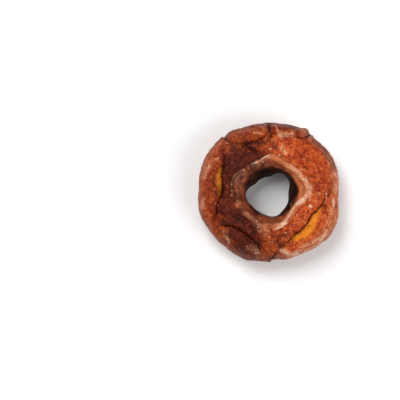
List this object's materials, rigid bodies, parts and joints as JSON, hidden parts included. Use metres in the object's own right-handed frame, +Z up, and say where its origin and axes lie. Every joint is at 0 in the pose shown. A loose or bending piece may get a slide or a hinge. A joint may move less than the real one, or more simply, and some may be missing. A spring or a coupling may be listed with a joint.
{
  "type": "old fashioned doughnut",
  "caption": "Glazed old fashioned cake doughnut: a ring with a cracked, craggy top, smooth skin round the hole and a flat foot.",
  "frame": {"origin": "under the middle of the doughnut's outline, on the plane that it rests on", "axes": "+Z up through the hole; +X towards the picture's right and +Y towards its top, as the doughnut is seen from straight above"},
  "size_m": [0.0958, 0.095, 0.0328],
  "materials": {
    "crust": "orange-brown fried crust under a thin, uneven sugar glaze"
  },
  "bodies": {
    "root": {"doughnut": "crust"}
  },
  "joints": []
}
